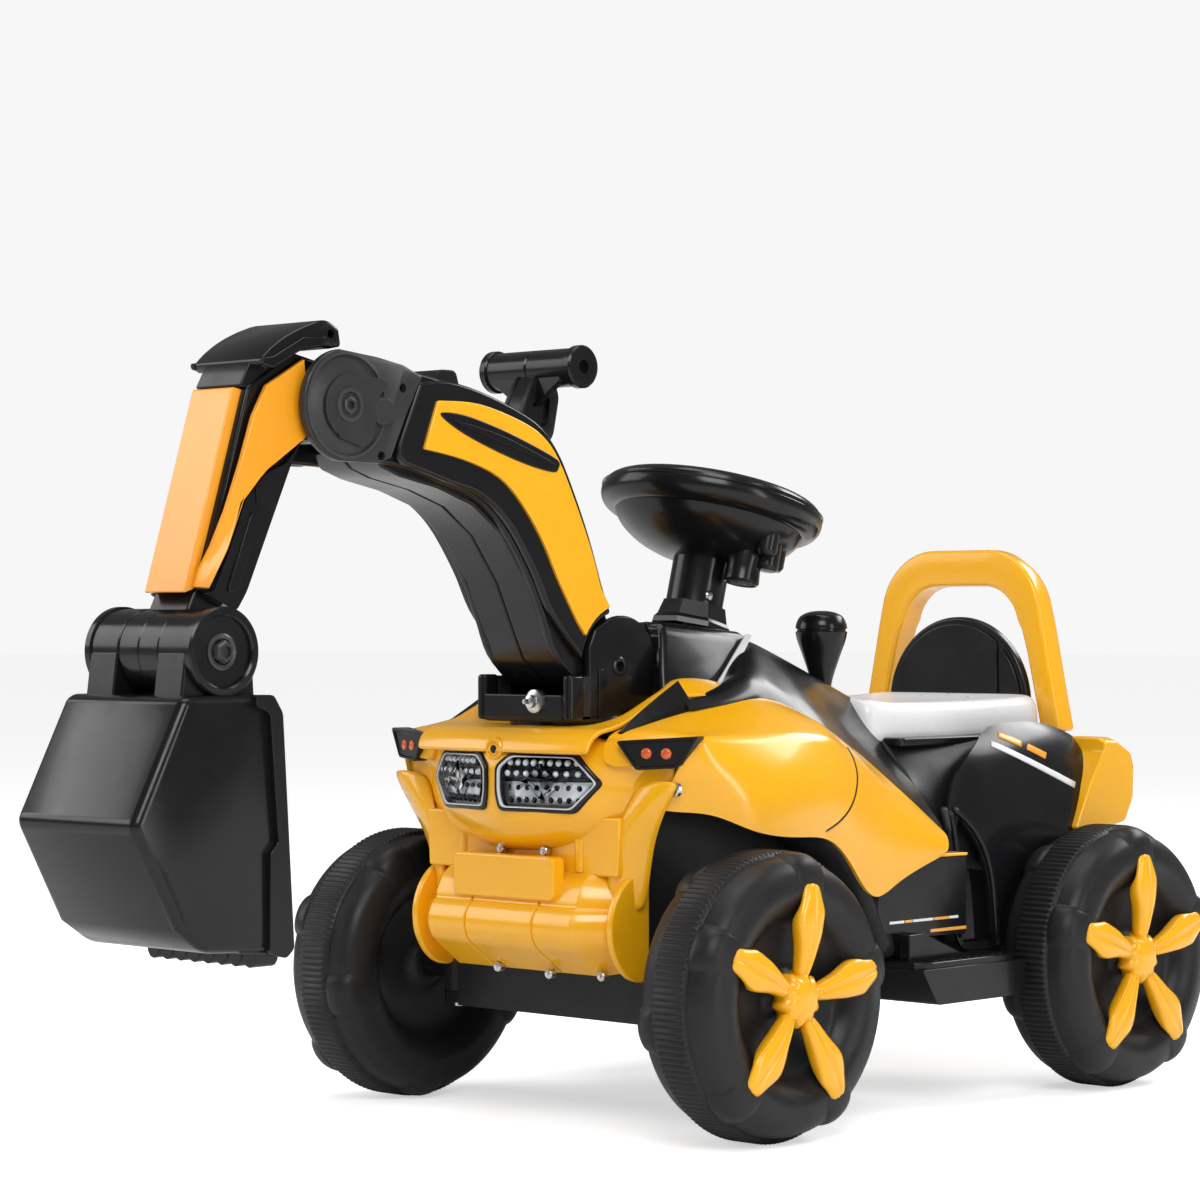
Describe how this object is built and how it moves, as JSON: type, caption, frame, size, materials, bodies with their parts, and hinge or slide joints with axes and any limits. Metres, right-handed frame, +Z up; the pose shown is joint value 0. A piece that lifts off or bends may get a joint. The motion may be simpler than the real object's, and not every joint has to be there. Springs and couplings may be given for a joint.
{
  "type": "ride on digger",
  "caption": "Toddler ride-on digger with a steering wheel, seat with a grab hoop, foot pedal and a hand-worked digger arm with a bucket on the nose.",
  "frame": {"origin": "centre of the outer box, on the floor", "axes": "+Z up, +X towards the vehicle left, -Y towards the digger arm at the front"},
  "size_m": [0.445, 0.981, 0.566],
  "materials": {
    "yellow_plastic": "gloss",
    "orange_plastic": "gloss",
    "black_plastic": "gloss",
    "black_satin": "satin",
    "wheel_plastic": "satin",
    "grey_plastic": "satin",
    "white_plastic": "satin",
    "steel": "brushed",
    "reflector": "mirror",
    "lens": "clear",
    "lamp_orange": "gloss",
    "battery_case": "matte",
    "button_red": "gloss",
    "button_yellow": "gloss",
    "pin_black": "satin"
  },
  "bodies": {
    "vehicle": {"chassis_tub": "black_satin", "front_axle_beam": "black_satin", "kingpins": "steel", "rear_axle": "steel", "front_shell": "yellow_plastic", "hood_strakes": "black_plastic", "front_bumper": "yellow_plastic", "body_screws": "steel", "headlight_bezels": "black_plastic", "headlight_reflectors": "reflector", "headlight_lenses": "lens", "indicator_bezels": "black_plastic", "indicator_lamps": "lamp_orange", "dash_pod": "black_plastic", "column_collar": "black_plastic", "console_cover": "black_plastic", "rear_body": "black_satin", "rear_covers": "black_plastic", "side_boxes": "black_plastic", "footboards": "black_satin", "tail_panel": "yellow_plastic", "seat": "white_plastic", "backrest": "black_plastic", "backrest_hoop": "yellow_plastic", "battery": "battery_case", "gearbox_motor": "grey_plastic"},
    "pedal": {"foot_pedal": "black_satin"},
    "shift_lever": {"gear_lever": "grey_plastic", "lever_knob": "black_plastic"},
    "steering": {"steering_rim": "black_plastic", "steering_hub": "black_plastic", "sound_module": "black_plastic", "steering_shaft": "steel"},
    "music_key": {"music_button": "button_red"},
    "horn_key": {"horn_button": "button_yellow"},
    "knuckle_l": {"knuckle_left": "black_satin"},
    "knuckle_r": {"knuckle_right": "black_satin"},
    "track_rod": {"tie_rod": "black_satin"},
    "wheel_fl": {"wheel_front_left": "wheel_plastic", "star_front_left": "yellow_plastic"},
    "wheel_fr": {"wheel_front_right": "wheel_plastic", "star_front_right": "yellow_plastic"},
    "wheel_rl": {"wheel_rear_left": "wheel_plastic", "star_rear_left": "yellow_plastic"},
    "wheel_rr": {"wheel_rear_right": "wheel_plastic", "star_rear_right": "yellow_plastic"},
    "tower": {"tower_bracket": "black_plastic", "tower_bolt": "steel", "boom_pin": "steel"},
    "boom": {"boom_frame": "black_satin", "boom_panels": "yellow_plastic", "elbow_plates": "grey_plastic", "elbow_pin": "pin_black"},
    "handle": {"dig_handle": "black_satin"},
    "rod": {"push_rod": "steel"},
    "stick": {"stick_frame": "black_plastic", "stick_cap": "black_plastic", "stick_panels": "orange_plastic"},
    "scoop": {"bucket": "black_plastic", "bucket_pin": "pin_black"}
  },
  "joints": [
    {"name": "steering_turn", "type": "hinge", "parent": "vehicle", "child": "steering", "pos_m": [0, 0.124, 0.452], "axis": [0, 0.2588, 0.9659], "range_deg": [-40, 40]},
    {"name": "knuckle_left_turn", "type": "hinge", "parent": "vehicle", "child": "knuckle_l", "pos_m": [0.124, -0.024, 0.1025], "axis": [0, 0, 1], "range_deg": [-18, 18]},
    {"name": "knuckle_right_turn", "type": "hinge", "parent": "vehicle", "child": "knuckle_r", "pos_m": [-0.124, -0.024, 0.1025], "axis": [0, 0, 1], "range_deg": [-18, 18]},
    {"name": "track_rod_slide", "type": "slide", "parent": "vehicle", "child": "track_rod", "axis": [1, 0, 0], "range_m": [-0.0142, 0.0142]},
    {"name": "wheel_front_left_spin", "type": "hinge", "parent": "knuckle_l", "child": "wheel_fl", "pos_m": [0.1805, -0.024, 0.1025], "axis": [1, 0, 0], "continuous": true},
    {"name": "wheel_front_right_spin", "type": "hinge", "parent": "knuckle_r", "child": "wheel_fr", "pos_m": [-0.1805, -0.024, 0.1025], "axis": [1, 0, 0], "continuous": true},
    {"name": "wheel_rear_left_spin", "type": "hinge", "parent": "vehicle", "child": "wheel_rl", "pos_m": [0.1805, 0.388, 0.1025], "axis": [1, 0, 0], "continuous": true},
    {"name": "wheel_rear_right_spin", "type": "hinge", "parent": "vehicle", "child": "wheel_rr", "pos_m": [-0.1805, 0.388, 0.1025], "axis": [1, 0, 0], "continuous": true},
    {"name": "pedal_press", "type": "hinge", "parent": "vehicle", "child": "pedal", "pos_m": [-0.165, 0.19, 0.117], "axis": [1, 0, 0], "range_deg": [-5, 0], "stiffness_Nm_per_rad": 0.4},
    {"name": "gear_lever_shift", "type": "hinge", "parent": "vehicle", "child": "shift_lever", "pos_m": [0.038, 0.21, 0.285], "axis": [1, 0, 0], "range_deg": [-12, 12]},
    {"name": "music_button_press", "type": "slide", "parent": "steering", "child": "music_key", "axis": [0, -0.2588, -0.9659], "range_m": [0, 0.002], "stiffness_N_per_m": 400},
    {"name": "horn_button_press", "type": "slide", "parent": "steering", "child": "horn_key", "axis": [0, -0.2588, -0.9659], "range_m": [0, 0.002], "stiffness_N_per_m": 400},
    {"name": "tower_slew", "type": "hinge", "parent": "vehicle", "child": "tower", "pos_m": [0, -0.03, 0.288], "axis": [0, 0, 1], "range_deg": [-20, 20]},
    {"name": "boom_pitch", "type": "hinge", "parent": "tower", "child": "boom", "pos_m": [0, -0.022, 0.331], "axis": [1, 0, 0], "range_deg": [-20, 12]},
    {"name": "stick_pitch", "type": "hinge", "parent": "boom", "child": "stick", "pos_m": [0, -0.292, 0.51], "axis": [1, 0, 0], "range_deg": [-25, 15]},
    {"name": "handle_swing", "type": "hinge", "parent": "boom", "child": "handle", "pos_m": [0, -0.095, 0.47], "axis": [1, 0, 0], "range_deg": [-25, 15]},
    {"name": "push_rod_swing", "type": "hinge", "parent": "handle", "child": "rod", "pos_m": [0, -0.089, 0.453], "axis": [1, 0, 0], "range_deg": [-15, 25]},
    {"name": "bucket_pitch", "type": "hinge", "parent": "stick", "child": "scoop", "pos_m": [0, -0.409, 0.345], "axis": [1, 0, 0], "range_deg": [-50, 40]}
  ],
  "couplings": [
    {"joint": "knuckle_left_turn", "follows": "steering_turn", "ratio": 0.45},
    {"joint": "knuckle_right_turn", "follows": "steering_turn", "ratio": 0.45},
    {"joint": "track_rod_slide", "follows": "steering_turn", "m_per_rad": -0.0202},
    {"joint": "handle_swing", "follows": "stick_pitch", "ratio": 1},
    {"joint": "push_rod_swing", "follows": "stick_pitch", "ratio": -1}
  ]
}
